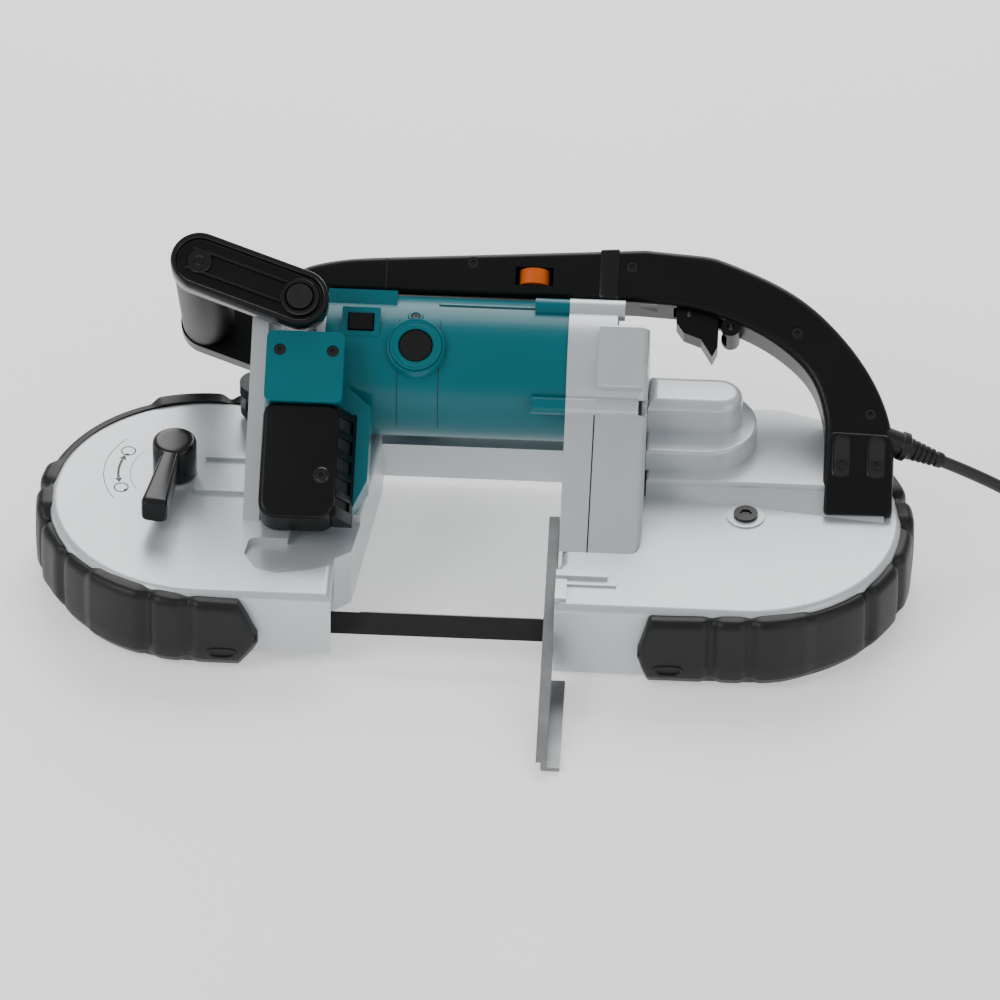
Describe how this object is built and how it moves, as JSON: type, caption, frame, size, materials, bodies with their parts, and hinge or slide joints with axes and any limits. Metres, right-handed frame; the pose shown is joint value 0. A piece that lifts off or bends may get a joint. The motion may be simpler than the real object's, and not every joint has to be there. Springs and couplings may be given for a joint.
{
  "type": "portable band saw",
  "caption": "Corded hand-held deep-cut band saw: two wheel housings round an open throat, tilted motor, closed rear handle and swinging front handle.",
  "frame": {"origin": "on the resting surface, at the centre of the saw's box without its cord", "axes": "+X from the idler wheel to the drive wheel, +Z along the wheel axles away from the surface, -Y towards the operator's front and the cut"},
  "size_m": [0.7134, 0.334, 0.1731],
  "materials": {
    "silver_paint": "satin light grey-blue paint on die-cast aluminium",
    "teal_plastic": "moulded blue-green plastic, slightly glossy",
    "black_plastic": "fine-grained black nylon",
    "rubber": "soft black rubber",
    "tyre_rubber": "smooth tyre rubber",
    "lever_grey": "dark grey moulded lever",
    "blade_steel": "dark blued spring steel",
    "zinc_steel": "zinc-plated steel",
    "bright_steel": "ground steel",
    "screw_black": "black-oxide steel",
    "orange_plastic": "orange thumb wheel",
    "copper_iron": "laminated iron with copper windings",
    "cast_metal": "bare aluminium casting",
    "cord_rubber": "black cord sheath"
  },
  "bodies": {
    "saw": {"idler_housing": "silver_paint", "drive_housing": "silver_paint", "frame_beam": "silver_paint", "frame_post": "silver_paint", "gear_housing": "silver_paint", "gear_cover": "silver_paint", "spindle_dome": "silver_paint", "motor_housing": "teal_plastic", "stator": "copper_iron", "motor_bearings": "bright_steel", "carbon_brushes": "copper_iron", "brush_caps": "black_plastic", "rear_cover": "teal_plastic", "vent_cover": "black_plastic", "handle_half_front": "black_plastic", "handle_half_rear": "black_plastic", "switch_module": "black_plastic", "pivot_bolt": "screw_black", "drive_axle": "bright_steel", "tension_spring": "bright_steel", "gear_bearings": "bright_steel", "guide_blocks": "cast_metal", "saw_blade": "blade_steel", "bumper_front_left": "rubber", "bumper_rear_left": "rubber", "bumper_front_right": "rubber", "bumper_rear_right": "rubber", "stop_plate": "zinc_steel", "frame_screws": "screw_black", "shell_screws": "screw_black", "cord_guard": "cord_rubber", "power_cord": "cord_rubber", "cord_coil": "cord_rubber", "power_plug": "cord_rubber"},
    "carriage": {"tension_carriage": "bright_steel", "idler_axle": "bright_steel"},
    "idler_wheel": {"idler_wheel": "cast_metal", "idler_tyre": "tyre_rubber", "idler_bearings": "bright_steel"},
    "drive_wheel": {"drive_wheel": "cast_metal", "drive_tyre": "tyre_rubber", "drive_bearings": "bright_steel", "ring_gear": "bright_steel"},
    "spindle": {"spindle": "bright_steel", "bevel_gear": "bright_steel"},
    "layshaft": {"layshaft": "bright_steel", "helical_gear": "bright_steel"},
    "armature": {"armature": "copper_iron", "cooling_fan": "black_plastic"},
    "lever": {"tension_lever": "lever_grey"},
    "trigger": {"trigger": "black_plastic"},
    "speed_dial": {"speed_dial": "orange_plastic"},
    "lamp_switch": {"lamp_switch": "black_plastic"},
    "front_handle": {"front_handle": "black_plastic", "front_handle_grip": "rubber"},
    "tracking_knob": {"tracking_knob": "black_plastic"},
    "guide_roller_left_rear": {"guide_roller_left_rear": "bright_steel"},
    "guide_roller_left_front": {"guide_roller_left_front": "bright_steel"},
    "guide_roller_right_rear": {"guide_roller_right_rear": "bright_steel"},
    "guide_roller_right_front": {"guide_roller_right_front": "bright_steel"}
  },
  "joints": [
    {"name": "drive_spin", "type": "hinge", "parent": "saw", "child": "drive_wheel", "pos_m": [0.1562, 0.009, 0.022], "axis": [0, 0, 1], "continuous": true},
    {"name": "carriage_slide", "type": "slide", "parent": "saw", "child": "carriage", "axis": [1, 0, 0], "range_m": [0, 0.005]},
    {"name": "idler_spin", "type": "hinge", "parent": "carriage", "child": "idler_wheel", "pos_m": [-0.1562, 0.009, 0.022], "axis": [0, 0, 1], "continuous": true},
    {"name": "spindle_spin", "type": "hinge", "parent": "saw", "child": "spindle", "pos_m": [0.13, 0.0645, 0.05], "axis": [0, 0, 1], "continuous": true},
    {"name": "layshaft_spin", "type": "hinge", "parent": "saw", "child": "layshaft", "pos_m": [0.08, 0.0645, 0.08], "axis": [1, 0, 0], "continuous": true},
    {"name": "motor_spin", "type": "hinge", "parent": "saw", "child": "armature", "pos_m": [0, 0.08444, 0.09189], "axis": [1, 0, 0], "continuous": true},
    {"name": "tension_lever_turn", "type": "hinge", "parent": "saw", "child": "lever", "pos_m": [-0.175, 0.027, 0.05], "axis": [0, 0, 1], "range_deg": [-140, 0]},
    {"name": "trigger_pull", "type": "hinge", "parent": "saw", "child": "trigger", "pos_m": [0.1185, 0.1186, 0.10848], "axis": [0, -0.5736, 0.8192], "range_deg": [0, 8], "stiffness_Nm_per_rad": 0.4, "springref_deg": -17.19},
    {"name": "speed_dial_turn", "type": "hinge", "parent": "saw", "child": "speed_dial", "pos_m": [0.028, 0.12707, 0.12601], "axis": [0, 0.8192, 0.5736], "range_deg": [0, 270]},
    {"name": "lamp_switch_rock", "type": "hinge", "parent": "saw", "child": "lamp_switch", "pos_m": [-0.07, 0.07387, 0.12965], "axis": [0, 0.8192, 0.5736], "range_deg": [-6, 6]},
    {"name": "front_handle_swing", "type": "hinge", "parent": "saw", "child": "front_handle", "pos_m": [-0.105, 0.10156, 0.10143], "axis": [0, -0.5736, 0.8192], "range_deg": [-65, 0]},
    {"name": "tracking_knob_turn", "type": "hinge", "parent": "saw", "child": "tracking_knob", "pos_m": [-0.131, 0.085, 0.06], "axis": [0, 0, 1], "range_deg": [-180, 180]},
    {"name": "guide_roller_left_rear_spin", "type": "hinge", "parent": "saw", "child": "guide_roller_left_rear", "pos_m": [-0.085, -0.0651, 0.01786], "axis": [0, 0.8192, 0.5736], "continuous": true},
    {"name": "guide_roller_left_front_spin", "type": "hinge", "parent": "saw", "child": "guide_roller_left_front", "pos_m": [-0.085, -0.0709, 0.02614], "axis": [0, 0.8192, 0.5736], "continuous": true},
    {"name": "guide_roller_right_rear_spin", "type": "hinge", "parent": "saw", "child": "guide_roller_right_rear", "pos_m": [0.056, -0.0651, 0.01786], "axis": [0, 0.8192, 0.5736], "continuous": true},
    {"name": "guide_roller_right_front_spin", "type": "hinge", "parent": "saw", "child": "guide_roller_right_front", "pos_m": [0.056, -0.0709, 0.02614], "axis": [0, 0.8192, 0.5736], "continuous": true}
  ],
  "couplings": [
    {"joint": "idler_spin", "follows": "drive_spin", "ratio": 1},
    {"joint": "spindle_spin", "follows": "drive_spin", "ratio": -7},
    {"joint": "layshaft_spin", "follows": "drive_spin", "ratio": 21},
    {"joint": "motor_spin", "follows": "drive_spin", "ratio": -95.667},
    {"joint": "tension_lever_turn", "follows": "carriage_slide", "rad_per_m": -488.69},
    {"joint": "guide_roller_left_rear_spin", "follows": "drive_spin", "ratio": -18.222},
    {"joint": "guide_roller_left_front_spin", "follows": "drive_spin", "ratio": 18.222},
    {"joint": "guide_roller_right_rear_spin", "follows": "drive_spin", "ratio": -18.222},
    {"joint": "guide_roller_right_front_spin", "follows": "drive_spin", "ratio": 18.222}
  ]
}
